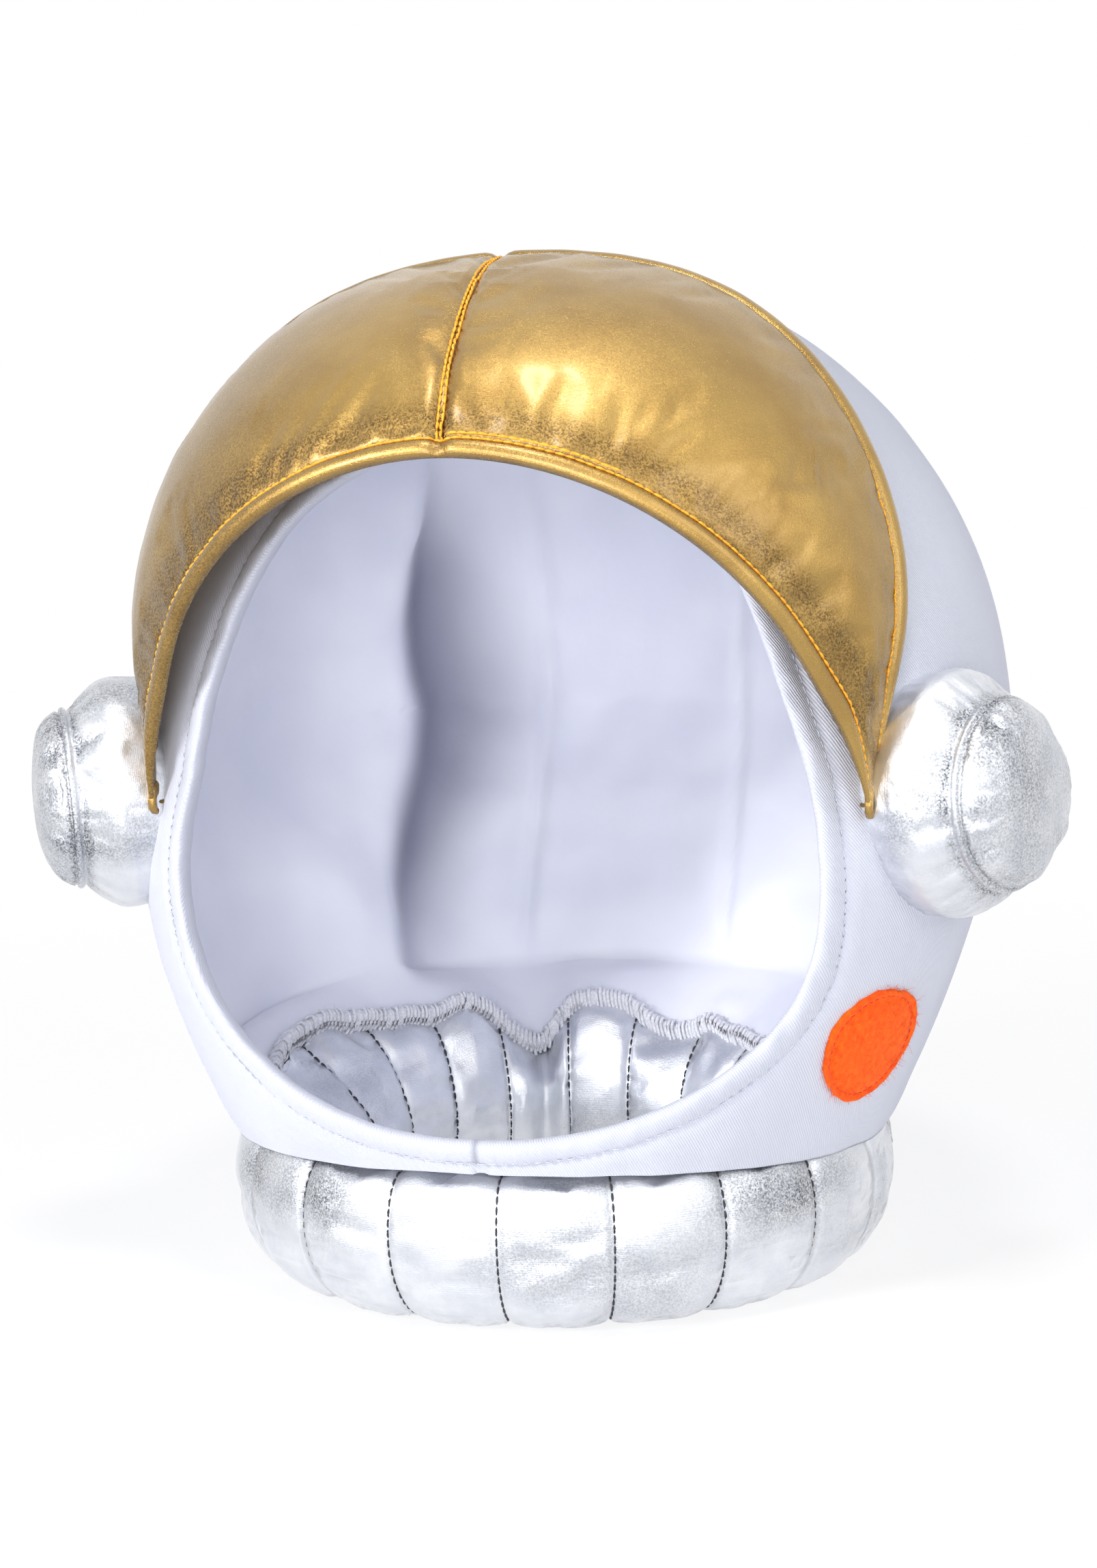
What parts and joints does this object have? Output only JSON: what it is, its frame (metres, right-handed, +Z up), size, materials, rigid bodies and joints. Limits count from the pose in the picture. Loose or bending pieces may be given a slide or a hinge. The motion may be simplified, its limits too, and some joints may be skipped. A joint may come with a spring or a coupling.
{
  "type": "padded astronaut costume helmet",
  "caption": "Soft padded astronaut costume helmet with an open face, a swing-down gold visor, stuffed ear puffs and a quilted silver neck ring.",
  "frame": {"origin": "on the table under the middle of the helmet's width and length", "axes": "+Z up, the face looks along -Y, +X is the wearer's left"},
  "size_m": [0.348, 0.2946, 0.3267],
  "materials": {
    "white_twill": "fine twill, matt",
    "white_lining": "satin lining",
    "foam": "open-cell foam sheet",
    "fibre_filling": "loose fibre filling",
    "silver_fabric": "silver foil knit, soft metallic gloss",
    "gold_fabric": "gold foil knit, soft metallic gloss",
    "gold_thread": "sewing thread",
    "serged_thread": "fuzzy overlocked edge",
    "orange_felt": "cut craft felt"
  },
  "bodies": {
    "helmet": {"outer_left": "white_twill", "outer_right": "white_twill", "outer_crown": "white_twill", "foam_left": "foam", "foam_right": "foam", "foam_crown": "foam", "lining_left": "white_lining", "lining_right": "white_lining", "lining_crown": "white_lining", "face_hem_left": "white_twill", "face_hem_right": "white_twill", "neck_ring_cover_left": "silver_fabric", "neck_ring_cover_right": "silver_fabric", "neck_ring_filling": "fibre_filling", "neck_facing": "white_lining", "serged_edge": "serged_thread", "ear_wall_left": "silver_fabric", "ear_wall_right": "silver_fabric", "ear_cap_left": "silver_fabric", "ear_cap_right": "silver_fabric", "ear_filling_left": "fibre_filling", "ear_filling_right": "fibre_filling", "ear_base_left": "silver_fabric", "ear_base_right": "silver_fabric", "felt_dot": "orange_felt", "visor_tack_left": "gold_thread", "visor_tack_right": "gold_thread"},
    "visor": {"visor_panel_left": "gold_fabric", "visor_panel_right": "gold_fabric", "visor_foam_left": "foam", "visor_foam_right": "foam", "visor_lining_left": "gold_fabric", "visor_lining_right": "gold_fabric", "visor_tab_left": "gold_fabric", "visor_tab_right": "gold_fabric"}
  },
  "joints": [
    {"name": "visor_swing", "type": "hinge", "parent": "helmet", "child": "visor", "pos_m": [0, -0.08737, 0.158], "axis": [1, 0, 0], "range_deg": [0, 40]}
  ]
}
